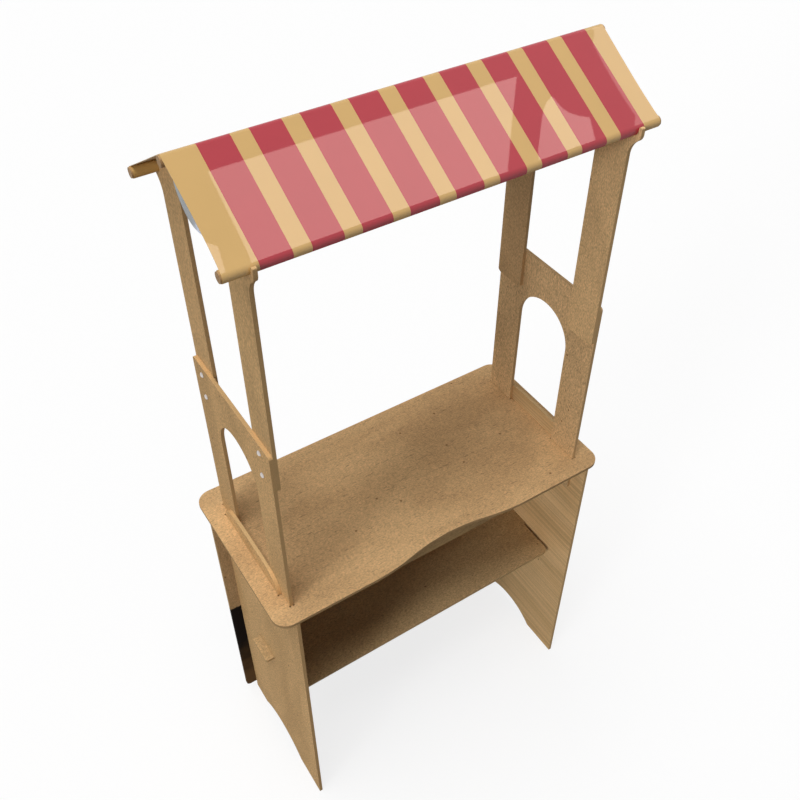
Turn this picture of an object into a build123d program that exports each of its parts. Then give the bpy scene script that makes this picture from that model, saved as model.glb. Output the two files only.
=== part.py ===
from build123d import *
import math
import os

# Wooden market stall: a counter on two side panels, four posts and a striped gable awning.
# Millimetres. X runs along the counter, Y from the operator's side to the customer's side,
# Z up. The origin is on the floor, under the middle of the counter.
# Every board is cut from one thickness and slots into its neighbours.

BOARD_THICKNESS = 9.0
SLOT_CLEARANCE = 0.3
RELIEF_RADIUS = 2.5

# Counter top: the operator's edge is scooped in the middle.
COUNTER_LENGTH = 1000.0
COUNTER_DEPTH = 490.0
COUNTER_HEIGHT = 938.0
COUNTER_CORNER_RADIUS = 40.0
BELLY_LENGTH = 470.0
BELLY_DEPTH = 26.0

# Side panels: the front edge is flush with the counter, the bottom is arched between the feet
# and a long tongue passes up through the counter.
PANEL_OVERHANG = 45.5
FOOT_ARCH_SPAN = 234.0
FOOT_ARCH_RISE = 45.0
PANEL_TONGUE_SETBACK = 92.0
PANEL_TONGUE_REAR_SETBACK = 35.0
PANEL_TONGUE_RISE = 52.0
PANEL_TONGUE_CORNER = 6.0

# Customer side panel: it closes the rear and reaches past both side panels.
CUSTOMER_PANEL_INSET = 12.0
CUSTOMER_PANEL_LIFT = 30.0
CUSTOMER_PANEL_CORNER = 14.0

# Lower shelf with a tongue through each side panel.
SHELF_HEIGHT = 487.0
SHELF_SETBACK = 77.0
SHELF_CORNER_RADIUS = 18.0
SHELF_RELIEF_DEPTH = 8.0
SHELF_RELIEF_LENGTH = 121.0
SHELF_TONGUE_SETBACK = 207.0
SHELF_TONGUE_LENGTH = 86.0
SHELF_TONGUE_REACH = 25.0
SHELF_TONGUE_CORNER = 7.0

# Rail on edge under the operator's side of the counter.
FRONT_RAIL_SETBACK = 27.5
FRONT_RAIL_HEIGHT = 36.0

# Arched end plates: a round-headed window between two legs that pass down through the counter.
PLATE_SETBACK = 49.0
PLATE_REAR_SETBACK = 65.0
PLATE_LEG_WIDTH = 93.0
PLATE_HEIGHT = 527.5
WINDOW_CROWN_HEIGHT = 423.5
PLATE_CORNER_RADIUS = 9.0
LEG_DEPTH = 125.0
LEG_CORNER_RADIUS = 6.0

# Posts: bolted to the inner faces of the end plates.
POST_WIDTH = 93.0
POST_LAP = 112.5
POST_CORNER_RADIUS = 10.0
BOLT_SPACING = 68.5
BOLT_EDGE = 25.0

# Roof: sleeved rails lie in the cradles at the post heads, a bare rail carries the ridge.
RAIL_DIAMETER = 22.0
RAIL_END_REVEAL = 2.0
EAVES_SETBACK = 6.9
EAVES_HEIGHT = 1002.0
ROOF_RISE = 118.0
RAIL_CLEARANCE = 0.3
CRADLE_WALL = 8.5
CRADLE_FLOOR = 15.2
CRADLE_LIP_HEIGHT = 8.7
CRADLE_LIP_ROUND = 3.0
CRADLE_NECK_RADIUS = 48.0
RAFTER_DEPTH = 60.0
RAFTER_ARMPIT_RADIUS = 40.0
RAFTER_JOINT_GAP = 0.3

# Awning: one cloth, sewn into a sleeve at each eaves.
AWNING_INSET = 12.0
AWNING_THICKNESS = 0.9

# Coach bolts: low round heads outside, square necks through the end plates and round threads in
# blind holes in the posts.
BOLT_DIAMETER = 6.0
BOLT_NECK_SIDE = 6.4
BOLT_HEAD_DIAMETER = 10.5
BOLT_HEAD_HEIGHT = 2.2
BOLT_THREAD_DEPTH = 6.5
BOLT_CLEARANCE = 0.2

# Places that follow from the sizes above.
FRONT_Y = -COUNTER_DEPTH / 2
COUNTER_UNDERSIDE = COUNTER_HEIGHT - BOARD_THICKNESS
PANEL_X = -COUNTER_LENGTH / 2 + PANEL_OVERHANG
PLATE_X = PANEL_X + BOARD_THICKNESS
POST_X = PLATE_X + BOARD_THICKNESS
PLATE_FRONT_Y = FRONT_Y + PLATE_SETBACK
PLATE_REAR_Y = COUNTER_DEPTH / 2 - PLATE_REAR_SETBACK
MIDDLE_Y = (PLATE_FRONT_Y + PLATE_REAR_Y) / 2
PLATE_TOP_Z = COUNTER_HEIGHT + PLATE_HEIGHT
POST_FOOT_Z = PLATE_TOP_Z - POST_LAP
EAVES_Y = PLATE_FRONT_Y - EAVES_SETBACK
EAVES_Z = COUNTER_HEIGHT + EAVES_HEIGHT
RIDGE_Z = EAVES_Z + ROOF_RISE
SLOPE = math.atan2(RIDGE_Z - EAVES_Z, MIDDLE_Y - EAVES_Y)
RAIL_RADIUS = RAIL_DIAMETER / 2
SLEEVE_INNER = RAIL_RADIUS + RAIL_CLEARANCE
SLEEVE_OUTER = SLEEVE_INNER + AWNING_THICKNESS
CRADLE_INNER = SLEEVE_OUTER + RAIL_CLEARANCE
CRADLE_OUTER = CRADLE_INNER + CRADLE_WALL
CRADLE_BASE_Z = EAVES_Z - CRADLE_FLOOR + CRADLE_WALL
AWNING_LENGTH = COUNTER_LENGTH - 2 * AWNING_INSET
RAIL_LENGTH = AWNING_LENGTH + 2 * RAIL_END_REVEAL
SHELF_TOP_Z = SHELF_HEIGHT
SHELF_UNDERSIDE = SHELF_TOP_Z - BOARD_THICKNESS
BOLT_Y = PLATE_FRONT_Y + POST_WIDTH / 2
BOLT_TOP_Z = PLATE_TOP_Z - BOLT_EDGE


def block(x0, x1, y0, y1):
    """Flat rectangle between two pairs of limits of a sketch."""
    centre = Pos((x0 + x1) / 2, (y0 + y1) / 2)
    return centre * Rectangle(abs(x1 - x0), abs(y1 - y0))


def relieved_slot(x0, x1, y0, y1):
    """Rectangle with a round relief at each corner, as a router leaves it."""
    slot = block(x0, x1, y0, y1)
    for x in (x0, x1):
        for y in (y0, y1):
            slot += Pos(x, y) * Circle(RELIEF_RADIUS)
    return slot


def rounded(sketch, points, radius):
    """Round the sketch's corners that lie nearest to the points."""
    for point in points:
        corner = sketch.vertices().sort_by_distance((point[0], point[1], 0))[0]
        sketch = fillet(corner, radius)
    return sketch


def side_board(sketch, x):
    """Extrude a sketch of (y, z) towards +X from the given x."""
    return extrude(Plane.YZ.offset(x) * sketch, amount=BOARD_THICKNESS)


def across(part):
    """The same piece at the other end of the counter."""
    return mirror(part, about=Plane.YZ)


def behind(part):
    """The same piece on the customer's side of the end plate."""
    return mirror(part, about=Plane.XZ.offset(-MIDDLE_Y))


def counter_outline():
    """Rounded rectangle whose front edge is scooped by three tangent arcs."""
    half = BELLY_LENGTH / 2
    right = COUNTER_LENGTH / 2
    rear = COUNTER_DEPTH / 2
    mid_y = FRONT_Y + BELLY_DEPTH / 2
    with BuildSketch() as sketch:
        with BuildLine():
            scoop_in = TangentArc((-half, FRONT_Y), (-half / 2, mid_y), tangent=(1, 0))
            ThreePointArc(scoop_in @ 1, (0, FRONT_Y + BELLY_DEPTH), (half / 2, mid_y))
            TangentArc((half, FRONT_Y), (half / 2, mid_y), tangent=(-1, 0))
            Polyline(
                (half, FRONT_Y),
                (right, FRONT_Y),
                (right, rear),
                (-right, rear),
                (-right, FRONT_Y),
                (-half, FRONT_Y),
            )
        make_face()
    corners = [(x, y) for x in (-right, right) for y in (FRONT_Y, rear)]
    return rounded(sketch.sketch, corners, COUNTER_CORNER_RADIUS)


def leg_limits(rear):
    """Limits in y of one leg of the end plate."""
    if rear:
        return PLATE_REAR_Y - PLATE_LEG_WIDTH, PLATE_REAR_Y
    return PLATE_FRONT_Y, PLATE_FRONT_Y + PLATE_LEG_WIDTH


def tongue_limits():
    """Limits in y of the side panel's upper tongue."""
    return FRONT_Y + PANEL_TONGUE_SETBACK, PLATE_REAR_Y - PANEL_TONGUE_REAR_SETBACK


def shelf_tongue_limits():
    """Limits in y of the shelf's end tongues."""
    start = FRONT_Y + SHELF_TONGUE_SETBACK
    return start, start + SHELF_TONGUE_LENGTH


def counter_slots():
    """Slots at the left end for the panel's tongue and the plate's two legs."""
    start, end = tongue_limits()
    c = SLOT_CLEARANCE
    slots = relieved_slot(PANEL_X - c, PLATE_X, start - c, end + c)
    for rear in (False, True):
        y0, y1 = leg_limits(rear)
        slots += relieved_slot(PLATE_X, POST_X + c, y0 - c, y1 + c)
    return slots


def make_counter_top():
    slots = counter_slots()
    outline = counter_outline() - slots - mirror(slots, about=Plane.YZ)
    return extrude(Pos(0, 0, COUNTER_UNDERSIDE) * outline, amount=BOARD_THICKNESS)


def make_side_panel():
    half = FOOT_ARCH_SPAN / 2
    radius = (half**2 + FOOT_ARCH_RISE**2) / (2 * FOOT_ARCH_RISE)
    outline = block(FRONT_Y, PLATE_REAR_Y, 0, COUNTER_UNDERSIDE)
    outline -= Pos(MIDDLE_Y, FOOT_ARCH_RISE - radius) * Circle(radius)
    start, end = tongue_limits()
    tongue_top = COUNTER_HEIGHT + PANEL_TONGUE_RISE
    outline += block(start, end, COUNTER_UNDERSIDE, tongue_top)
    outline = rounded(outline, [(start, tongue_top), (end, tongue_top)], PANEL_TONGUE_CORNER)
    start, end = shelf_tongue_limits()
    c = SLOT_CLEARANCE
    outline -= relieved_slot(start - c, end + c, SHELF_UNDERSIDE - c, SHELF_TOP_Z + c)
    return side_board(outline, PANEL_X)


def make_customer_side_panel():
    half = COUNTER_LENGTH / 2 - CUSTOMER_PANEL_INSET
    outline = block(-half, half, CUSTOMER_PANEL_LIFT, COUNTER_UNDERSIDE)
    corners = [(-half, CUSTOMER_PANEL_LIFT), (half, CUSTOMER_PANEL_LIFT)]
    outline = rounded(outline, corners, CUSTOMER_PANEL_CORNER)
    return extrude(Plane.XZ.offset(-PLATE_REAR_Y) * outline, amount=-BOARD_THICKNESS)


def make_lower_shelf():
    front = FRONT_Y + SHELF_SETBACK
    step = front + SHELF_RELIEF_LENGTH
    wide = -PLATE_X
    narrow = wide - SHELF_RELIEF_DEPTH
    outline = block(-wide, wide, step, PLATE_REAR_Y)
    outline += block(-narrow, narrow, front, step)
    outline = rounded(outline, [(-narrow, front), (narrow, front)], SHELF_CORNER_RADIUS)
    start, end = shelf_tongue_limits()
    tip = -PANEL_X + SHELF_TONGUE_REACH
    tongues = block(-tip, tip, start, end)
    corners = [(x, y) for x in (-tip, tip) for y in (start, end)]
    outline += rounded(tongues, corners, SHELF_TONGUE_CORNER)
    return extrude(Pos(0, 0, SHELF_UNDERSIDE) * outline, amount=BOARD_THICKNESS)


def make_counter_front_rail():
    outline = block(PLATE_X, -PLATE_X, COUNTER_UNDERSIDE - FRONT_RAIL_HEIGHT, COUNTER_UNDERSIDE)
    near_face = FRONT_Y + FRONT_RAIL_SETBACK
    return extrude(Plane.XZ.offset(-near_face) * outline, amount=-BOARD_THICKNESS)


def bolt_heights():
    """Heights of the two bolts of one post."""
    return BOLT_TOP_Z - BOLT_SPACING, BOLT_TOP_Z


def bolt_holes(rear, hole):
    """One post's two bolt holes in a (y, z) sketch, each of the shape of the given hole."""
    y = 2 * MIDDLE_Y - BOLT_Y if rear else BOLT_Y
    return [Pos(y, z) * hole for z in bolt_heights()]


def make_arch_plate():
    window_radius = (PLATE_REAR_Y - PLATE_FRONT_Y) / 2 - PLATE_LEG_WIDTH
    spring = COUNTER_HEIGHT + WINDOW_CROWN_HEIGHT - window_radius
    foot = COUNTER_HEIGHT - LEG_DEPTH
    neck_hole = Rectangle(*[BOLT_NECK_SIDE + 2 * BOLT_CLEARANCE] * 2)
    outline = block(PLATE_FRONT_Y, PLATE_REAR_Y, foot, PLATE_TOP_Z)
    corners = [(PLATE_FRONT_Y, PLATE_TOP_Z), (PLATE_REAR_Y, PLATE_TOP_Z)]
    outline = rounded(outline, corners, PLATE_CORNER_RADIUS)
    outline -= block(MIDDLE_Y - window_radius, MIDDLE_Y + window_radius, foot, spring)
    outline -= Pos(MIDDLE_Y, spring) * Circle(window_radius)
    for rear in (False, True):
        corners = [(y, foot) for y in leg_limits(rear)]
        outline = rounded(outline, corners, LEG_CORNER_RADIUS) - bolt_holes(rear, neck_hole)
    return side_board(outline, PLATE_X)


def rafter_z(y, offset):
    """Height at y of a line parallel to the front slope, offset square to it."""
    return EAVES_Z + (y - EAVES_Y) * math.tan(SLOPE) + offset / math.cos(SLOPE)


def post_outline():
    """Front post: column, cradle hook for the eaves rail and half of the rafter."""
    front = PLATE_FRONT_Y
    inner = front + POST_WIDTH
    joint = MIDDLE_Y - RAFTER_JOINT_GAP / 2
    over = SLEEVE_INNER - RAIL_CLEARANCE
    under = over - RAFTER_DEPTH
    throat = EAVES_Y + CRADLE_INNER
    with BuildSketch() as sketch:
        with BuildLine():
            Polyline(
                (front, POST_FOOT_Z),
                (inner, POST_FOOT_Z),
                (inner, rafter_z(inner, under)),
                (joint, rafter_z(joint, under)),
                (joint, rafter_z(joint, over)),
                (throat, rafter_z(throat, over)),
                (throat, EAVES_Z),
                (front, EAVES_Z),
                close=True,
            )
        make_face()
    outline = sketch.sketch
    outline = rounded(outline, [(front, POST_FOOT_Z), (inner, POST_FOOT_Z)], POST_CORNER_RADIUS)
    outline = rounded(outline, [(inner, rafter_z(inner, under))], RAFTER_ARMPIT_RADIUS)
    nose = EAVES_Y - CRADLE_OUTER
    lip_top = EAVES_Z + CRADLE_LIP_HEIGHT
    base = Pos(EAVES_Y, CRADLE_BASE_Z) * Circle(CRADLE_OUTER)
    base &= block(nose, front, CRADLE_BASE_Z - CRADLE_OUTER, CRADLE_BASE_Z)
    outline += base + block(nose, front, CRADLE_BASE_Z, lip_top)
    neck = CRADLE_BASE_Z - math.sqrt(CRADLE_OUTER**2 - EAVES_SETBACK**2)
    outline = rounded(outline, [(front, neck)], CRADLE_NECK_RADIUS)
    pocket = Pos(EAVES_Y, EAVES_Z) * Circle(CRADLE_INNER)
    pocket += block(EAVES_Y - CRADLE_INNER, throat, EAVES_Z, EAVES_Z + 2 * CRADLE_OUTER)
    outline -= pocket
    lip = [(nose, lip_top), (EAVES_Y - CRADLE_INNER, lip_top)]
    outline = rounded(outline, lip, CRADLE_LIP_ROUND)
    seat = Pos(MIDDLE_Y, RIDGE_Z) * Circle(SLEEVE_INNER)
    seat += block(MIDDLE_Y - SLEEVE_INNER, MIDDLE_Y, RIDGE_Z, RIDGE_Z + RAIL_DIAMETER)
    return outline - seat


def make_post():
    post = side_board(post_outline(), POST_X)
    depth = BOLT_THREAD_DEPTH + BOLT_CLEARANCE
    for hole in bolt_holes(False, Circle(BOLT_DIAMETER / 2 + BOLT_CLEARANCE)):
        post -= extrude(Plane.YZ.offset(POST_X) * hole, amount=depth)
    return post


def make_rail(y, z):
    """Round rail along X, centred on the stall."""
    rail = Plane.YZ.offset(-RAIL_LENGTH / 2) * Pos(y, z) * Circle(RAIL_RADIUS)
    return extrude(rail, amount=RAIL_LENGTH)


def slope_point(y, z, along, offset, rear):
    """Point beside the front slope's centre line, or its image on the rear slope."""
    y += along * math.cos(SLOPE) - offset * math.sin(SLOPE)
    z += along * math.sin(SLOPE) + offset * math.cos(SLOPE)
    return (2 * MIDDLE_Y - y, z) if rear else (y, z)


def awning_outline():
    """Section of the cloth: two sleeves, two slopes and the fold over the ridge rail."""
    seam = math.sqrt(SLEEVE_OUTER**2 - SLEEVE_INNER**2)
    with BuildSketch() as sketch:
        with BuildLine():
            for rear in (False, True):
                eaves_top = slope_point(EAVES_Y, EAVES_Z, 0, SLEEVE_OUTER, rear)
                eaves_tip = slope_point(EAVES_Y, EAVES_Z, -SLEEVE_OUTER, 0, rear)
                eaves_seam = slope_point(EAVES_Y, EAVES_Z, seam, SLEEVE_INNER, rear)
                ridge_top = slope_point(MIDDLE_Y, RIDGE_Z, 0, SLEEVE_OUTER, rear)
                ridge_under = slope_point(MIDDLE_Y, RIDGE_Z, 0, SLEEVE_INNER, rear)
                Line(ridge_top, eaves_top)
                ThreePointArc(eaves_top, eaves_tip, eaves_seam)
                Line(eaves_seam, ridge_under)
            for radius in (SLEEVE_OUTER, SLEEVE_INNER):
                start = slope_point(MIDDLE_Y, RIDGE_Z, 0, radius, False)
                end = slope_point(MIDDLE_Y, RIDGE_Z, 0, radius, True)
                ThreePointArc(start, (MIDDLE_Y, RIDGE_Z + radius), end)
        make_face()
    outline = sketch.sketch
    for y in (EAVES_Y, 2 * MIDDLE_Y - EAVES_Y):
        outline -= Pos(y, EAVES_Z) * Circle(SLEEVE_INNER)
    return outline


def make_awning():
    cloth = Plane.YZ.offset(-AWNING_LENGTH / 2) * awning_outline()
    return extrude(cloth, amount=AWNING_LENGTH)


def make_bolt(z):
    """Bolt of the left front post; its axis runs along X and its head is outside."""
    head = Cylinder(BOLT_HEAD_DIAMETER / 2, BOLT_HEAD_HEIGHT)
    neck = Box(BOLT_NECK_SIDE, BOLT_NECK_SIDE, BOARD_THICKNESS)
    thread = Cylinder(BOLT_DIAMETER / 2, BOLT_THREAD_DEPTH)
    bolt = Pos(0, 0, BOLT_HEAD_HEIGHT / 2) * head
    bolt += Pos(0, 0, -BOARD_THICKNESS / 2) * neck
    bolt += Pos(0, 0, -BOARD_THICKNESS - BOLT_THREAD_DEPTH / 2) * thread
    return Pos(PLATE_X, BOLT_Y, z) * Rot(0, -90, 0) * bolt


def build_stall():
    """Every piece of the stall by its name."""
    left_panel = make_side_panel()
    left_plate = make_arch_plate()
    front_post = make_post()
    rear_post = behind(front_post)
    pieces = {
        "counter_top": make_counter_top(),
        "left_side_panel": left_panel,
        "right_side_panel": across(left_panel),
        "customer_side_panel": make_customer_side_panel(),
        "lower_shelf": make_lower_shelf(),
        "counter_front_rail": make_counter_front_rail(),
        "left_arch_plate": left_plate,
        "right_arch_plate": across(left_plate),
        "left_front_post": front_post,
        "right_front_post": across(front_post),
        "left_rear_post": rear_post,
        "right_rear_post": across(rear_post),
        "front_roof_rail": make_rail(EAVES_Y, EAVES_Z),
        "rear_roof_rail": make_rail(2 * MIDDLE_Y - EAVES_Y, EAVES_Z),
        "ridge_rail": make_rail(MIDDLE_Y, RIDGE_Z),
        "awning": make_awning(),
    }
    for level, z in zip(("lower", "upper"), bolt_heights()):
        bolt = make_bolt(z)
        pieces[f"left_front_{level}_bolt"] = bolt
        pieces[f"right_front_{level}_bolt"] = across(bolt)
        pieces[f"left_rear_{level}_bolt"] = behind(bolt)
        pieces[f"right_rear_{level}_bolt"] = across(behind(bolt))
    return pieces


os.makedirs("parts", exist_ok=True)
for name, piece in build_stall().items():
    export_step(piece, f"parts/{name}.step")
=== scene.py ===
import logging
import math
from dataclasses import dataclass
from enum import Enum
from typing import Callable, Dict, List, Optional, Sequence, Tuple, Union

import bpy
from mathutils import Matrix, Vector
from mathutils.geometry import tessellate_polygon


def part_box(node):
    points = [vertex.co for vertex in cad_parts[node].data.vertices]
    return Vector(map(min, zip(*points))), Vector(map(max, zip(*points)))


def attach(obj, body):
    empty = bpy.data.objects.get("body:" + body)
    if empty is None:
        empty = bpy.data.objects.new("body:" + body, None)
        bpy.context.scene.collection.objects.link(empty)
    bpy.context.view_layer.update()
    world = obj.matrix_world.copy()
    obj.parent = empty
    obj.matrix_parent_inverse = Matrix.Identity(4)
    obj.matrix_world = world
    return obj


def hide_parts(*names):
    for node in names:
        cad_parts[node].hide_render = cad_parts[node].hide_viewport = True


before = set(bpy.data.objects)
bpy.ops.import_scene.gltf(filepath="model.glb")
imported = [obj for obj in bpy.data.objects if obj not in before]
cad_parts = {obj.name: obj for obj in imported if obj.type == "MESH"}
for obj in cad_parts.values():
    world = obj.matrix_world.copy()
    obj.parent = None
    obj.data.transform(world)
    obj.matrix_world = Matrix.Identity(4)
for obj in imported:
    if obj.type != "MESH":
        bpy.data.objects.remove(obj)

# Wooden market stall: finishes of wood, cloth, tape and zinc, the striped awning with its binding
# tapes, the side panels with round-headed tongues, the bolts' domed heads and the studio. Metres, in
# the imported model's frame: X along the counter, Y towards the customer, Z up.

logging.basicConfig(level=logging.INFO, format="%(name)s: %(message)s")
LOG = logging.getLogger("market_stall")

Colour = Tuple[float, float, float]
Point = Tuple[float, float, float]
Pair = Tuple[float, float]
Socket = bpy.types.NodeSocket
Material = bpy.types.Material
Piece = bpy.types.Object
Fed = Union[float, Tuple[float, ...], Socket, "Value"]

BODY = "root"


class Axis(Enum):
    """A direction of the model's frame."""

    X = 0
    Y = 1
    Z = 2


class End(Enum):
    """An end of the counter, by its sign along X."""

    LEFT = -1
    RIGHT = 1


class Side(Enum):
    """A face of a cloth, by its material slot."""

    PRINTED = 0
    REVERSE = 1


@dataclass(frozen=True)
class Figure:
    """A noise over a surface, in cells that may be long one way.

    Args:
        along: Cells to the metre along the grain.
        across: Cells to the metre across it.
        detail: Octaves.
        warp: How far the place is warped.
        limits: Noise where the figure is 0 and where it is 1, or none for the bare noise.
    """

    along: float
    across: float
    detail: float
    warp: float = 0.0
    limits: Optional[Pair] = None


def operator(operation: str, swapped: bool = False) -> Callable[..., "Value"]:
    """Make a method of Value.

    Args:
        operation: The operation of the Math node that the method adds.
        swapped: Whether the other value comes first.

    Returns:
        The method.
    """
    def method(this: "Value", other: Fed = 0.0) -> "Value":
        """Add the node.

        Args:
            this: The value that has the method.
            other: The other value, where the operation takes one.

        Returns:
            The operation's result.
        """
        pair = {0: other, 1: this} if swapped else {0: this, 1: other}
        made = this.graph.node("ShaderNodeMath", {"operation": operation}, pair)
        return Value(this.graph, made.outputs[0])

    return method


@dataclass(eq=False)
class Value:
    """A number that may vary over a surface, with arithmetic that adds Math nodes."""

    graph: "Graph"
    socket: Socket

    __add__ = __radd__ = operator("ADD")
    __sub__ = operator("SUBTRACT")
    __rsub__ = operator("SUBTRACT", swapped=True)
    __mul__ = __rmul__ = operator("MULTIPLY")
    __truediv__ = operator("DIVIDE")
    __gt__ = operator("GREATER_THAN")
    __lt__ = operator("LESS_THAN")
    __abs__ = operator("ABSOLUTE")
    sine = operator("SINE")
    fraction = operator("FRACT")

    def ramp(self, low: float, high: float) -> "Value":
        """Smooth step.

        Args:
            low: Where the result is 0.
            high: Where the result is 1; it may be the smaller of the two.

        Returns:
            The step, from 0 to 1.
        """
        rising = low < high
        inputs = {"Value": self, "From Min": min(low, high), "From Max": max(low, high)}
        made = self.graph.node("ShaderNodeMapRange", {"interpolation_type": "SMOOTHSTEP"}, inputs)
        step = Value(self.graph, made.outputs[0])
        return step if rising else 1 - step


class Graph:
    """The shader nodes of one material or of the room."""

    def __init__(self, owner: Union[str, bpy.types.World]) -> None:
        """Start empty.

        Args:
            owner: The name of a new material, or the world.
        """
        self.owner = bpy.data.materials.new(owner) if isinstance(owner, str) else owner
        self.owner.use_nodes = True
        self.tree = self.owner.node_tree
        self.tree.nodes.clear()

    def node(self, kind: str, settings: Optional[Dict[str, object]] = None,
             inputs: Optional[Dict[object, Fed]] = None) -> bpy.types.Node:
        """Add a node.

        Args:
            kind: The node's type.
            settings: Its properties, set before its sockets.
            inputs: Values or links by socket name or number.

        Returns:
            The node.
        """
        made = self.tree.nodes.new(kind)
        for key, value in (settings or {}).items():
            setattr(made, key, value)
        for key, value in (inputs or {}).items():
            self.feed(made.inputs[key], value)
        return made

    def feed(self, socket: Socket, value: Fed) -> None:
        """Give an input its value or its link.

        Args:
            socket: The input.
            value: A number, a colour, a socket or a Value.
        """
        if isinstance(value, Value):
            value = value.socket
        if isinstance(value, Socket):
            self.tree.links.new(value, socket)
        elif socket.type == "RGBA" and len(value) == 3:
            socket.default_value = (*value, 1.0)
        else:
            socket.default_value = value

    def place(self, offset: Point = (0.0, 0.0, 0.0)) -> Socket:
        """Point on the surface in the model's frame, moved by an offset."""
        here = self.node("ShaderNodeTexCoord").outputs["Object"]
        return self.node("ShaderNodeVectorMath", {"operation": "ADD"}, {0: here, 1: offset}).outputs[0]

    def scaled(self, vector: Fed, factor: Fed) -> Socket:
        """A vector or colour times a number."""
        made = self.node("ShaderNodeVectorMath", {"operation": "SCALE"}, {0: vector, "Scale": factor})
        return made.outputs[0]

    def figure(self, place: Socket, grain: Axis, figure: Figure) -> Value:
        """Noise around 0.5, or from 0 to 1 where the figure has limits.

        Args:
            place: The place in metres.
            grain: The grain's direction.
            figure: The noise.

        Returns:
            The noise.
        """
        sizes = tuple(figure.along if axis is grain else figure.across for axis in Axis)
        cells = self.node("ShaderNodeVectorMath", {"operation": "MULTIPLY"}, {0: place, 1: sizes})
        inputs = {"Vector": cells.outputs[0], "Scale": 1.0, "Detail": figure.detail,
                  "Distortion": figure.warp}
        noise = Value(self, self.node("ShaderNodeTexNoise", {}, inputs).outputs[0])
        return noise.ramp(*figure.limits) if figure.limits else noise

    def part(self, vector: Socket, axis: Axis) -> Value:
        """One coordinate of a vector."""
        return Value(self, self.node("ShaderNodeSeparateXYZ", {}, {0: vector}).outputs[axis.value])

    def flat(self, axis: Axis) -> Value:
        """One coordinate on the flat cloth."""
        return self.part(self.node("ShaderNodeUVMap", {"uv_map": "flat"}).outputs[0], axis)

    def facing(self, axis: Axis) -> Value:
        """How squarely the surface faces along an axis, from 0 to 1."""
        return abs(self.part(self.node("ShaderNodeNewGeometry").outputs["Normal"], axis))

    def mixed(self, factor: Fed, start: Fed, end: Fed) -> Socket:
        """Blend of two colours, by a factor that is 0 for the first and 1 for the second."""
        made = self.node("ShaderNodeMix", {"data_type": "RGBA"}, {0: factor, 6: start, 7: end})
        return made.outputs[2]

    def bumped(self, height: Value, distance: float, strength: float) -> Socket:
        """Normal of a surface whose relief goes from 0 to 1, over a depth in metres."""
        inputs = {"Height": height, "Distance": distance, "Strength": strength}
        return self.node("ShaderNodeBump", {}, inputs).outputs[0]

    def done(self, inputs: Dict[object, Fed], kind: str = "BsdfPrincipled") -> Material:
        """Close the material with a shader.

        Args:
            inputs: The shader's values and links by socket name or number.
            kind: The shader's kind.

        Returns:
            The material.
        """
        shader = self.node(f"ShaderNode{kind}", {}, inputs)
        self.node("ShaderNodeOutputMaterial", {}, {0: shader.outputs[0]})
        return self.owner

    def unseen(self) -> Value:
        """Which rays don't look at the surface.

        Returns:
            0 to the camera, a gloss or a glass, and 1 to light that is only scattered.
        """
        path = self.node("ShaderNodeLightPath").outputs
        looks = (Value(self, path[f"Is {kind} Ray"]) for kind in ("Camera", "Glossy", "Transmission"))
        return 1 - sum(looks, 0.0)


# Figures of the bare board: short flecks, fine fibres, long veneer streaks, rippled curl, broad
# changes of tone, dark dashes, pores and, on the cut edges, the saw's marks.
FLECK = Figure(150, 480, 3)
FIBRE = Figure(260, 1300, 2)
STREAK = Figure(1.1, 230, 3)
CURL = Figure(170, 75, 2, 1.5)
BROAD = Figure(2.6, 7.0, 3, 0.8, (0.32, 0.68))
DASH = Figure(46, 330, 1, 0.4, (0.64, 0.75))
PORE = Figure(240, 900, 1, 0.0, (0.62, 0.74))
SAW_MARK = Figure(900, 260, 2)

# Pin knots: cells to the metre, a knot's rim in cells, its strength and the share of bare cells.
KNOT_CELLS = 7.5
KNOT_RIM = (0.032, 0.012)
KNOT_STRENGTH = 0.8
KNOTLESS = 0.6


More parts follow.
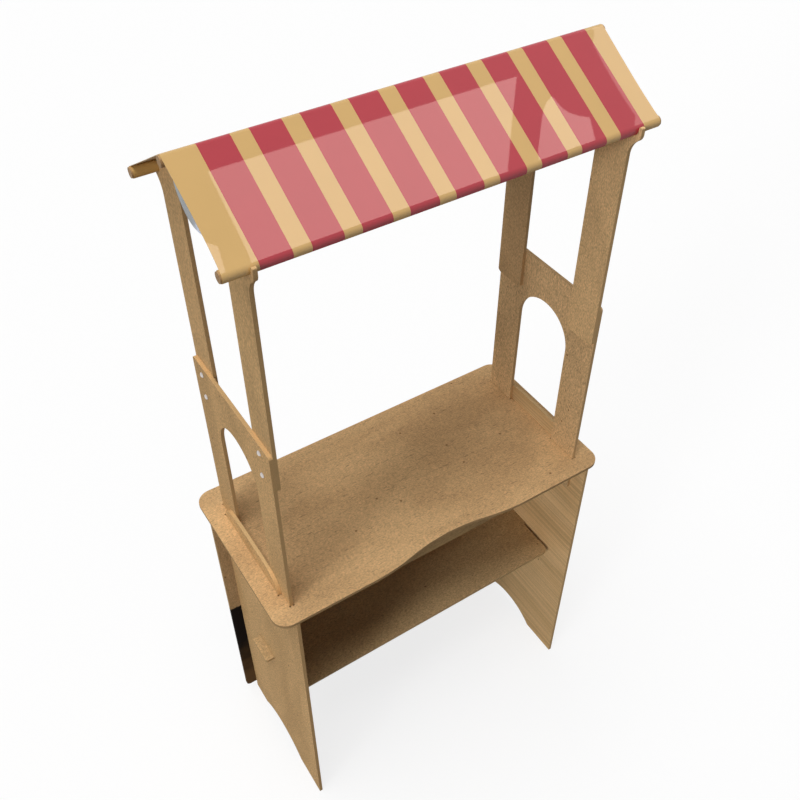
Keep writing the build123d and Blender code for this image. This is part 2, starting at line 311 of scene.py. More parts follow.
@dataclass(frozen=True)
class BoardFinish:
    """Bare birch board: flecks along the grain, soft figure, pin knots and plies on its edges.

    Args:
        name: The material's name.
        grain: Direction of the grain.
        through: Direction of the thickness.
        offset: Where in the wood the board is cut, so that no two boards repeat.
        streaks: Strength of the streaks; the next five are strengths of the other figures.
        above_counter_darkening: How much darker the wood is above the counter's top.
        darkening_heights: Heights between which that starts.
        cut_turn: How squarely a surface faces through the board on its face and on a cut edge.
        cut_light: How light the cut edges are.
        up_painted_light: Painted light: how much lighter the cut edges are that face up or down, as if
            lit from overhead.
        ply_start: Where the plies start, in radians of their wave.
        ply_worn: How far they are worn to the wood's colour.
    """

    name: str
    grain: Axis
    through: Axis
    offset: Point
    streaks: float = 0.25
    ripples: float = 0.25
    flecks: float = 1.25
    dashed: float = 0.12
    fibres: float = 0.6
    pored: float = 0.25
    tone: Colour = (0.70, 0.45, 0.220)
    deep: Colour = (0.575, 0.358, 0.172)
    above_counter_darkening: float = 0.0
    darkening_heights: Pair = (0.936, 0.944)
    cut_turn: Pair = (0.75, 0.55)
    cut_light: float = 0.94
    up_painted_light: float = 0.24
    sawn: float = 0.6
    knot: Colour = (0.17, 0.08, 0.032)
    glue: Colour = (0.50, 0.31, 0.135)
    plies: int = 7
    ply_start: float = 0.6
    ply_edge: float = 0.35
    ply_worn: float = 0.5
    thickness: float = 0.009

    def wood(self, graph: Graph, place: Socket) -> Tuple[Socket, Value]:
        """Colour and relief of the veneer.

        Args:
            graph: The material's graph.
            place: The place in the wood.

        Returns:
            The colour, and the relief from 0 to 1.
        """
        fleck, fibre, streak, curl, broad, dashes, pores = (
            graph.figure(place, self.grain, figure)
            for figure in (FLECK, FIBRE, STREAK, CURL, BROAD, DASH, PORE))
        colour = graph.mixed(broad, self.tone, self.deep)
        light = 1 + self.flecks * (fleck - 0.5) + self.fibres * (fibre - 0.5)
        light = light + self.streaks * (streak - 0.5) + self.ripples * (curl - 0.5)
        colour = graph.scaled(colour, light * (1 - self.pored * pores) * (1 - self.dashed * dashes))
        colour = graph.mixed(self.knots(graph, place), colour, self.knot)
        return colour, 0.5 * fleck + 0.5 * fibre - 0.4 * pores

    def knots(self, graph: Graph, place: Socket) -> Value:
        """Where the few pin knots are.

        Args:
            graph: The material's graph.
            place: The place in the wood.

        Returns:
            The knots, from 0 to 1.
        """
        first, second = (graph.part(place, axis) for axis in Axis if axis is not self.through)
        cells = graph.node("ShaderNodeCombineXYZ", {}, {0: KNOT_CELLS * first, 1: KNOT_CELLS * second})
        inputs = {"Vector": cells.outputs[0], "Scale": 1.0}
        spots = graph.node("ShaderNodeTexVoronoi", {"voronoi_dimensions": "2D"}, inputs)
        near = Value(graph, spots.outputs["Distance"]).ramp(*KNOT_RIM)
        return KNOT_STRENGTH * near * (graph.part(spots.outputs["Color"], Axis.X) > KNOTLESS)

    def ply_edges(self, graph: Graph, place: Socket) -> Socket:
        """Colour of the stacked plies where the board is cut.

        Args:
            graph: The material's graph.
            place: The place in the wood.

        Returns:
            The colour.
        """
        depth = graph.part(graph.place(), self.through)
        wave = (depth * (self.plies * math.pi / self.thickness) + self.ply_start).sine()
        layer = wave.ramp(-self.ply_edge, self.ply_edge)
        marks = graph.figure(place, self.through, SAW_MARK)
        colour = graph.mixed(layer, self.glue, self.tone)
        # Painted light: cut edges that face up or down are made lighter, as if lit from overhead.
        light = self.cut_light + self.up_painted_light * graph.facing(Axis.Z) + self.sawn * (marks - 0.5)
        return graph.scaled(graph.mixed(self.ply_worn, colour, self.tone), light)

    def build(self) -> Material:
        """Make the material.

        Returns:
            The material.
        """
        graph = Graph(self.name)
        place = graph.place(self.offset)
        colour, relief = self.wood(graph, place)
        cut = graph.facing(self.through).ramp(*self.cut_turn)
        colour = graph.mixed(cut, colour, self.ply_edges(graph, place))
        return graph.done({
            "Base Color": self.over(graph, colour),
            "Roughness": 0.6 + 0.2 * relief,
            "Specular IOR Level": 0.06,
            "Normal": graph.bumped(relief, distance=0.0002, strength=0.4),
        })

    def over(self, graph: Graph, colour: Socket) -> Socket:
        """The wood's colour with what lies over it: darker above the counter's top."""
        # The wood is made darker above the counter's top.
        above = graph.part(graph.place(), Axis.Z).ramp(*self.darkening_heights)
        return graph.scaled(colour, 1 - self.above_counter_darkening * above)


@dataclass(frozen=True)
class DarkBasedFinish(BoardFinish):
    """Bare board whose lower part is stained near black, with a slightly uneven upper limit.

    Args:
        limit: Height of the stain's upper limit.
        soft: How far above and below it the stain ends.
        ragged: How much the limit's height varies.
        fade: Heights between which the stain starts to let brown through.
        patches: How much those heights vary.
    """

    limit: float = 0.472
    soft: float = 0.003
    ragged: float = 0.03
    fade: Pair = (0.30, 0.06)
    patches: float = 0.16
    stain: Colour = (0.0045, 0.0025, 0.002)
    worn: Colour = (0.13, 0.075, 0.032)
    rags: Figure = Figure(60, 60, 4)
    patch: Figure = Figure(16, 26, 3)

    def over(self, graph: Graph, colour: Socket) -> Socket:
        """The wood's colour with the dark stain over it.

        Args:
            graph: The material's graph.
            colour: The wood's colour.

        Returns:
            The colour.
        """
        height = graph.part(graph.place(), Axis.Z)
        uneven = height + self.ragged * (graph.figure(graph.place(), Axis.Z, self.rags) - 0.5)
        edge = uneven.ramp(self.limit + self.soft, self.limit - self.soft)
        patchy = graph.figure(graph.place(), Axis.X, self.patch)
        brown = (height - self.patches * (patchy - 0.5)).ramp(*self.fade)
        return graph.mixed(edge, colour, graph.mixed(brown, self.stain, self.worn))


@dataclass(frozen=True)
class RailFinish:
    """Bare turned rail: fibres along its length and rings on its darker ends.

    Args:
        end_turn: How squarely a surface faces along the rail on its round and on its end.
    """

    name: str = "turned_rail"
    tone: Colour = (0.52, 0.325, 0.155)
    deep: Colour = (0.40, 0.235, 0.105)
    fibres: float = 0.5
    rings: float = 0.5
    end_dark: float = 0.2
    end_turn: Pair = (0.6, 0.85)
    fibre: Figure = Figure(24, 700, 3)
    streak: Figure = Figure(2, 140, 2, 0.0, (0.35, 0.65))
    ring: Figure = Figure(5, 420, 1, 2.0)

    def build(self) -> Material:
        """Make the material.

        Returns:
            The material.
        """
        graph = Graph(self.name)
        fibre, streak, rings = (graph.figure(graph.place(), Axis.X, figure)
                                for figure in (self.fibre, self.streak, self.ring))
        ends = graph.facing(Axis.X).ramp(*self.end_turn)
        light = 1 + self.fibres * (fibre - 0.5) - ends * (self.end_dark + self.rings * (rings - 0.5))
        return graph.done({
            "Base Color": graph.scaled(graph.mixed(streak, self.tone, self.deep), light),
            "Roughness": 0.5 + 0.2 * fibre,
            "Specular IOR Level": 0.3,
            "Normal": graph.bumped(fibre, distance=0.0002, strength=0.5),
        })


@dataclass(frozen=True)
class ClothFinish:
    """Coated awning cloth: nine red stripes on cream, printed on one side.

    A place over the roof is 0 at the front eaves and 1 where the front slope meets the ridge.

    Args:
        side: The printed side, or the pale reverse.
        first: Where along the counter the first stripe starts.
        slant: How far the stripes lean to the left on the way to the ridge.
        soft: Softness of a stripe's right edge, as a share of the pitch.
        rear_eaves: Place of the rear eaves over the roof.
        dulled: How far past the eaves the coat's gloss has ended and starts to end.
    """

    name: str
    side: Side
    red: Colour = (0.47, 0.032, 0.049)
    cream: Colour = (0.675, 0.42, 0.145)
    pale: Colour = (0.64, 0.60, 0.55)
    fading: float = 0.4
    first: float = -0.4188
    pitch: float = 0.09975
    band: float = 0.0634
    slant: float = 0.0026
    soft: float = 0.003
    stripes: int = 9
    rear_eaves: float = 2.09
    dulled: Pair = (0.10, 0.02)
    threads: float = 1100.0
    slope: float = 0.24
    cloud: Figure = Figure(9, 13, 3)

    def stripe(self, along: Value, down: Value) -> Value:
        """Where the red stripes are.

        Args:
            along: Place along the counter.
            down: Place over the roof.

        Returns:
            1 on a stripe and 0 between.
        """
        turn = (along - self.first + self.slant * down) / self.pitch
        inside = (turn > 0) * (turn < self.stripes)
        edge = self.band / self.pitch
        return inside * turn.fraction().ramp(edge + self.soft, edge - self.soft)

    def taut(self, down: Value) -> Value:
        """1 on the stretched cloth, falling to 0 on the sleeves."""
        end, start = self.dulled
        return down.ramp(-end, -start) * down.ramp(self.rear_eaves + end, self.rear_eaves + start)

    def build(self) -> Material:
        """Make the material.

        Returns:
            The material.
        """
        graph = Graph(self.name)
        along = graph.flat(Axis.X) - 0.5
        down = graph.flat(Axis.Y)
        printed = self.side is Side.PRINTED
        warp = (along * (math.tau * self.threads)).sine()
        weft = (down * (math.tau * self.threads * self.slope)).sine()
        weave = 0.5 + 0.25 * (warp + weft)
        cloudy = graph.figure(graph.place(), Axis.X, self.cloud)
        colour = graph.mixed(self.stripe(along, down), self.cream, self.red)
        if not printed:
            colour = graph.mixed(self.fading, colour, self.pale)
        return graph.done({
            "Base Color": graph.scaled(colour, 0.985 + 0.09 * (cloudy - 0.5) + 0.03 * (weave - 0.5)),
            "Roughness": 0.6 + 0.1 * weave,
            "Specular IOR Level": 0.2,
            "Coat Weight": self.taut(down) if printed else 0.0,
            "Coat Roughness": 0.02,
            "Coat IOR": 1.5,
            "Normal": graph.bumped(weave, distance=0.00006, strength=0.2),
        })


@dataclass(frozen=True)
class TapeFinish:
    """Grey binding tape: a ribbed weave along its length, lighter and bluer towards its low end.

    Args:
        low_end_fade: Places on the slope where the lighter, bluer colour starts and where it is whole.
    """

    name: str = "edge_tape"
    grey: Colour = (0.44, 0.46, 0.47)
    low_end_tint: Colour = (0.66, 0.70, 0.82)
    low_end_fade: Pair = (0.53, 0.39)
    ribs: float = 900.0
    soil: Figure = Figure(40, 60, 3)

    def build(self) -> Material:
        """Make the material.

        Returns:
            The material.
        """
        graph = Graph(self.name)
        place = graph.place()
        ribs = (graph.part(place, Axis.Y) * (math.tau * self.ribs)).sine()
        soil = graph.figure(place, Axis.Y, self.soil)
        # The tape is made lighter and bluer towards its low end.
        colour = graph.mixed(graph.flat(Axis.Y).ramp(*self.low_end_fade), self.grey, self.low_end_tint)
        return graph.done({
            "Base Color": graph.scaled(colour, 1 + 0.25 * (soil - 0.5) + 0.04 * ribs),
            "Roughness": 0.75 + 0.1 * soil,
            "Specular IOR Level": 0.2,
            "Normal": graph.bumped(0.5 + 0.5 * ribs, distance=0.00008, strength=0.4),
        })


@dataclass(frozen=True)
class ZincFinish:
    """Bright zinc of the bolt heads, with a slight spangle."""

    name: str = "bolt_zinc"
    zinc: Colour = (0.78, 0.73, 0.70)
    spangle: Figure = Figure(700, 700, 3)

    def build(self) -> Material:
        """Make the material.

        Returns:
            The material.
        """
        graph = Graph(self.name)
        spangle = graph.figure(graph.place(), Axis.X, self.spangle)
        return graph.done({
            "Base Color": graph.scaled(self.zinc, 0.92 + 0.3 * (spangle - 0.5)),
            "Metallic": 0.85,
            "Roughness": 0.3 + 0.25 * spangle,
            "Normal": graph.bumped(spangle, distance=0.00004, strength=0.3),
        })


@dataclass(frozen=True)
class FloorFinish:
    """Pale floor that is near white to the camera and keeps the stall's shadow.

    Args:
        bounced: Its colour to scattered light.
        glow: How much of what is seen is a plain white glow.
    """

    name: str = "studio_floor"
    seen: Colour = (0.93, 0.93, 0.93)
    bounced: Colour = (0.16, 0.155, 0.15)
    glow: float = 0.8

    def build(self) -> Material:
        """Make the material.

        Returns:
            The material.
        """
        graph = Graph(self.name)
        hidden = graph.unseen()
        colour = graph.mixed(hidden, self.seen, self.bounced)
        matt = graph.node("ShaderNodeBsdfDiffuse", {}, {"Color": colour})
        white = graph.node("ShaderNodeEmission", {}, {"Color": (1.0, 1.0, 1.0), "Strength": 1.0})
        shares = {0: self.glow * (1 - hidden), 1: matt.outputs[0], 2: white.outputs[0]}
        return graph.done(shares, "MixShader")


def dress(node: str, material: Material) -> None:
    """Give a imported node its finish.

    Args:
        node: The node's name.
        material: The finish.
    """
    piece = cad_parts[node]
    for slot in piece.material_slots:
        slot.material = material
    LOG.info("%s: %s", node, material.name)


def new_piece(name: str, points: Sequence[Point], faces: Sequence[Sequence[int]],
              materials: Sequence[Material]) -> Piece:
    """Make an object from points and faces.

    Args:
        name: The object's name.
        points: Its points.
        faces: Its faces, as point numbers.
        materials: Its material slots.

    Returns:
        The object, linked to the scene.
    """
    mesh = bpy.data.meshes.new(name)
    mesh.from_pydata(list(points), [], list(faces))
    for material in materials:
        mesh.materials.append(material)
    piece = bpy.data.objects.new(name, mesh)
    bpy.context.scene.collection.objects.link(piece)
    LOG.info("%s: %d faces", name, len(faces))
    return piece


def smooth(mesh: bpy.types.Mesh, sharp: float) -> None:
    """Shade a mesh smooth, except over its sharp edges.

    Args:
        mesh: The mesh.
        sharp: The turn in degrees above which an edge stays sharp.
    """
    for face in mesh.polygons:
        face.use_smooth = True
    mesh.set_sharp_from_angle(angle=math.radians(sharp))


@dataclass
class ThinSheet:
    """A cloth of one thickness, swept through a grid of points on its printed side.

    Args:
        name: The piece's name.
        rows: Rows of points, which run across the cloth; all are equally long.
        thickness: The cloth's thickness, which lies behind the printed side.
        flat: Place of each row on the flat cloth.
        creases: Rows that a flat part ends at.
    """

    name: str
    rows: List[List[Vector]]
    thickness: float
    flat: List[float]
    creases: Tuple[int, ...] = ()

    def behind(self, r: int, c: int) -> Vector:
        """Point on the reverse, behind a point of the grid.

        Args:
            r: The point's row.
            c: Its place in the row.

        Returns:
            The point.
        """
        row = self.rows[r]
        across = row[min(c + 1, len(row) - 1)] - row[max(c - 1, 0)]
        down = self.rows[min(r + 1, len(self.rows) - 1)][c] - self.rows[max(r - 1, 0)][c]
        return row[c] - across.cross(down).normalized() * self.thickness

    def build(self, materials: Sequence[Material]) -> Piece:
        """Make the cloth.

        Args:
            materials: The finish of the printed side and of the reverse.

        Returns:
            The piece.
        """
        count, width = len(self.rows), len(self.rows[0])
        front = [p for row in self.rows for p in row]
        back = [self.behind(r, c) for r in range(count) for c in range(width)]
        shift = len(front)
        printed, reverse, rim = [], [], []
        for r in range(count - 1):
            for c in range(width - 1):
                a = r * width + c
                quad = (a, a + 1, a + width + 1, a + width)
                printed.append(quad)
                reverse.append(tuple(shift + i for i in reversed(quad)))
        for r in range(count - 1):
            for a, b in ((r * width, (r + 1) * width), ((r + 2) * width - 1, (r + 1) * width - 1)):
                rim.append((a, b, shift + b, shift + a))
        for c in range(width - 1):
            end = (count - 1) * width + c
            rim.append((c + 1, c, shift + c, shift + c + 1))
            rim.append((end, end + 1, shift + end + 1, shift + end))
        piece = new_piece(self.name, front + back, printed + reverse + rim, materials)
        self.finish_mesh(piece.data, len(printed), width, shift)
        return piece

    def finish_mesh(self, mesh: bpy.types.Mesh, printed: int, width: int, shift: int) -> None:
        """Set the sides' finishes, the flat coordinates and the shading.

        Args:
            mesh: The cloth's mesh.
            printed: How many faces are on the printed side.
            width: Points in a row.
            shift: Points on one side.
        """
        flat = mesh.uv_layers.new(name="flat")
        for face in mesh.polygons:
            reverse = printed <= face.index < 2 * printed
            face.material_index = Side.REVERSE.value if reverse else Side.PRINTED.value
            for loop in face.loop_indices:
                point = mesh.loops[loop].vertex_index
                row = (point % shift) // width
                flat.data[loop].uv = (mesh.vertices[point].co.x + 0.5, self.flat[row])
        smooth(mesh, sharp=40)
        for edge in mesh.edges:
            rows = {(point % shift) // width for point in edge.vertices}
            if len(rows) == 1 and rows.pop() in self.creases:
                edge.use_edge_sharp = True


@dataclass
class SidePanel:
    """Side panel with a round-headed tongue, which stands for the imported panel.

    Args:
        node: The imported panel.
        shoulder: Height of the counter's underside, where the tongue starts.
        tongue: Places of the tongue's ends.
        squareness: How square the tongue's ends are: 2 is an ellipse.
        arch: Place, height and radius of the foot arch.
        slot: Low and high corner of the shelf's slot.
        relief: Radius of the slot's corner reliefs, each of which turns by relief_turn degrees.
    """

    node: str
    shoulder: float = 0.929
    tongue: Pair = (-0.153, 0.145)
    squareness: float = 5.0
    arch: Point = (-0.008, -0.1296, 0.1746)
    slot: Tuple[float, float, float, float] = (-0.0383, 0.4777, 0.0483, 0.4873)
    relief: float = 0.0025
    relief_turn: float = 270.0
    relief_steps: int = 8
    steps: int = 40

    def outline(self, low: Vector, high: Vector) -> List[Pair]:
        """Outer edge in y and z, counter-clockwise seen from +X.

        Args:
            low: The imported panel's low corner.
            high: Its high corner.

        Returns:
            The edge's points.
        """
        points = [(low.y, low.z)]
        centre, below, radius = self.arch
        half = math.acos((low.z - below) / radius)
        for step in range(self.steps + 1):
            angle = half * (2 * step / self.steps - 1)
            points.append((centre + radius * math.sin(angle), below + radius * math.cos(angle)))
        points += [(high.y, low.z), (high.y, self.shoulder)]
        start, end = self.tongue
        for step in range(self.steps + 1):
            along = math.cos(math.pi * step / self.steps)
            rise = (1 - abs(along) ** self.squareness) ** 0.5
            points.append(((start + end) / 2 + along * (end - start) / 2,
                           self.shoulder + (high.z - self.shoulder) * rise))
        return points + [(low.y, self.shoulder)]

    def slot_edge(self) -> List[Pair]:
        """Edge of the shelf's slot with its round corner reliefs.

        Returns:
            The edge's points, clockwise seen from +X.
        """
        y0, z0, y1, z1 = self.slot
        points = []
        for y, z, corner in ((y0, z0, 180), (y0, z1, 90), (y1, z1, 0), (y1, z0, 270)):
            for step in range(self.relief_steps + 1):
                turn = self.relief_turn * (0.5 - step / self.relief_steps)
                angle = math.radians(corner + turn)
                points.append((y + self.relief * math.cos(angle), z + self.relief * math.sin(angle)))
        return points

    def build(self, material: Material) -> Piece:
        """Make the panel.

        Args:
            material: The board's finish.

        Returns:
            The piece.
        """
        low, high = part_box(self.node)
        loops = [self.outline(low, high), self.slot_edge()]
        flat = [point for loop in loops for point in loop]
        count = len(flat)
        points = [(x, y, z) for x in (low.x, high.x) for y, z in flat]
        faces = []
        for a, b, c in tessellate_polygon([[Vector((y, z, 0.0)) for y, z in loop] for loop in loops]):
            (ay, az), (by, bz), (cy, cz) = flat[a], flat[b], flat[c]
            if (by - ay) * (cz - az) < (bz - az) * (cy - ay):
                b, c = c, b
            faces += [(a, c, b), (count + a, count + b, count + c)]
        first = 0
        for loop in loops:
            for step in range(len(loop)):
                a, b = first + step, first + (step + 1) % len(loop)
                faces.append((count + a, a, b, count + b))
            first += len(loop)
        panel = new_piece(f"{self.node}_board", points, faces, [material])
        smooth(panel.data, sharp=35)
        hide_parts(self.node)
        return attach(panel, BODY)


class Carcass:
    """The counter, its side panels, its shelf and the rail under its front edge."""

    def finishes(self) -> Dict[str, BoardFinish]:
        """Cut and colour of each board.

        Returns:
            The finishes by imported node.
        """
        return {
            "counter_top": BoardFinish(
                "counter_board", Axis.X, Axis.Z, (0.31, 0.17, 0.0),
                streaks=0.12, ripples=0.5, flecks=1.05, dashed=0.35, cut_light=0.64),
            "left_side_panel": BoardFinish(
                "left_panel_board", Axis.Z, Axis.X, (1.7, 0.4, 2.2),
                streaks=0.05, ripples=0.3, flecks=2.0,
                tone=(0.66, 0.425, 0.2), deep=(0.545, 0.345, 0.158)),
            "right_side_panel": BoardFinish(
                "right_panel_board", Axis.Y, Axis.X, (4.1, 1.3, 0.6),
                streaks=1.0, ripples=0.1, flecks=0.2, above_counter_darkening=0.26,
                tone=(0.79, 0.53, 0.265), deep=(0.67, 0.435, 0.205)),
            "lower_shelf": BoardFinish(
                "shelf_board", Axis.X, Axis.Z, (2.6, 5.2, 0.3),
                streaks=0.1, ripples=0.3, flecks=1.6,
                tone=(0.565, 0.385, 0.195), deep=(0.475, 0.31, 0.15)),
            # The front rail's darker tone is painted shade, standing in for the shade under the
            # counter's front edge.
            "counter_front_rail": BoardFinish(
                "front_rail_board", Axis.X, Axis.Y, (0.9, 3.3, 1.9),
                streaks=0.3, ripples=0.2, tone=(0.46, 0.30, 0.145), deep=(0.39, 0.25, 0.115)),
            "customer_side_panel": DarkBasedFinish(
                "customer_panel_board", Axis.Z, Axis.Y, (6.2, 0.8, 3.4),
                streaks=0.15, ripples=0.4, flecks=1.2, tone=(0.58, 0.41, 0.23), deep=(0.48, 0.33, 0.18)),
        }

    def build(self) -> None:
        """Dress the boards and make the side panels."""
        for node, finish in self.finishes().items():
            if node in ("left_side_panel", "right_side_panel"):
                SidePanel(node).build(finish.build())
            else:
                dress(node, finish.build())


@dataclass
class BoltHead:
    """Domed head of a coach bolt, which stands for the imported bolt.

    Args:
        node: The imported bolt.
        end: The end of the counter that it is at.
        rim: Height where the dome starts.
        chamfer: Width and height of the chamfer at the board.
        packed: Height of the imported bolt's head, whose foot is on the board.
    """

    node: str
    end: End
    radius: float = 0.0067
    dome: float = 0.0048
    rim: float = 0.0006
    chamfer: Pair = (0.0001, 0.00015)
    packed: float = 0.0022
    steps: int = 7
    turns: int = 36

    def profile(self) -> List[Pair]:
        """Section of the head, from the board to below its crown.

        Returns:
            Radius and height of each ring.
        """
        inset, height = self.chamfer
        rings = [(self.radius - inset, 0.0), (self.radius, height), (self.radius, self.rim)]
        for step in range(1, self.steps):
            angle = math.pi / 2 * step / self.steps
            rise = (self.dome - self.rim) * math.sin(angle)
            rings.append((self.radius * math.cos(angle), self.rim + rise))
        return rings

    def build(self, material: Material) -> Piece:
        """Make the head.

        Args:
            material: The zinc finish.

        Returns:
            The piece.
        """
        low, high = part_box(self.node)
        centre = (low + high) / 2
        sign = self.end.value
        seat = (high.x - self.packed) if self.end is End.RIGHT else (low.x + self.packed)
        rings = self.profile()
        points = []
        for radius, height in rings:
            for turn in range(self.turns):
                angle = math.tau * turn / self.turns
                points.append((seat + sign * height, centre.y + radius * math.cos(angle),
                               centre.z + radius * math.sin(angle)))
        crown = len(points)
        points.append((seat + sign * self.dome, centre.y, centre.z))
        faces = [tuple(range(self.turns))]
        for ring in range(len(rings) - 1):
            for turn in range(self.turns):
                a, b = ring * self.turns + turn, ring * self.turns + (turn + 1) % self.turns
                faces.append((a, b, b + self.turns, a + self.turns))
        last = (len(rings) - 1) * self.turns
        faces += [(last + turn, last + (turn + 1) % self.turns, crown) for turn in range(self.turns)]
        if self.end is End.RIGHT:
            faces[0] = tuple(reversed(faces[0]))
        else:
            faces[1:] = [tuple(reversed(face)) for face in faces[1:]]
        head = new_piece(f"{self.node}_head", points, faces, [material])
        smooth(head.data, sharp=50)
        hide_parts(self.node)
        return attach(head, BODY)


@dataclass
class EndFrames:
    """The arched end plates, the posts with their cradles and the coach bolts.

    Plates are listed left and right, and posts left front, left rear, right front and right rear.

    Args:
        plate_cuts: Where in the wood each plate is cut, as post_cuts for the posts.
        post_lit_and_shaded_tones: Each post's lighter colour, with painted light on the right front post
            and painted shade on the other three, most on the right rear.
        deepening: A board's deeper colour as a share of its lighter one.
    """

    plate_tones: Tuple[Colour, ...] = ((0.66, 0.42, 0.196), (0.715, 0.475, 0.243))
    plate_cuts: Tuple[Point, ...] = ((0.7, 0.2, 0.0), (3.8, 2.5, 1.1))
    # Post tones hold painted light on the right front post and painted shade on the other three, most on
    # the right rear.
    post_lit_and_shaded_tones: Tuple[Colour, ...] = ((0.64, 0.415, 0.197), (0.67, 0.43, 0.205),
                                      (0.76, 0.505, 0.252), (0.60, 0.387, 0.193))
    post_cuts: Tuple[Point, ...] = ((5.0, 0.6, 2.4), (5.0, 2.3, 2.4), (6.0, 0.6, 3.4), (6.0, 2.3, 3.4))
    deepening: float = 0.83
    ripples: float = 0.3

    def upright(self, name: str, cut: Point, tone: Colour, streaks: float, flecks: float) -> Material:
        """Make the finish of an upright board.

        Args:
            name: The board's name.
            cut: Where in the wood it is cut.
            tone: Its lighter colour.
            streaks: Strength of its streaks.
            flecks: Strength of its flecks.

        Returns:
            The finish.
        """
        deep = tuple(self.deepening * channel for channel in tone)
        return BoardFinish(f"{name}_board", Axis.Z, Axis.X, cut, streaks=streaks, ripples=self.ripples,
                           flecks=flecks, tone=tone, deep=deep).build()

    def build(self) -> None:
        """Dress the boards and make the bolt heads."""
        zinc = ZincFinish().build()
        posts = zip(self.post_cuts, self.post_lit_and_shaded_tones)
        for end, cut, tone in zip(End, self.plate_cuts, self.plate_tones):
            side = end.name.lower()
            plate = self.upright(f"{side}_plate", cut, tone, streaks=0.10, flecks=1.8)
            dress(f"{side}_arch_plate", plate)
            for row in ("front", "rear"):
                post = f"{side}_{row}_post"
                dress(post, self.upright(post, *next(posts), streaks=0.12, flecks=1.4))
                for level in ("lower", "upper"):
                    BoltHead(f"{side}_{row}_{level}_bolt", end).build(zinc)


@dataclass(frozen=True)
class TapeShape:
    """The slack binding tape under one end edge of the cloth.

    Args:
        low: Place on the slope of its low end, and high that of its high end.
        lean: Where it is deepest: 1 is the middle, more is higher.
        bluntness: Shape of its ends: 1 is a sine's, less is blunter.
        inward: How far its upper edge lies in from the cloth's end.
        curl: How it comes out to that end: 1 is straight, more is sooner.
    """

    low: float = 0.335
    high: float = 0.80
    depth: float = 0.0277
    tip: float = 0.0008
    lean: float = 1.357
    bluntness: float = 0.7
    inward: float = 0.0065
    curl: float = 1.6
    thickness: float = 0.0006
    gap: float = 0.0002
    steps: int = 48
    drops: int = 6

    def hang(self, share: float) -> float:
        """Depth at a share of the tape's length."""
        return self.tip + self.depth * max(0.0, math.sin(math.pi * share ** self.lean)) ** self.bluntness


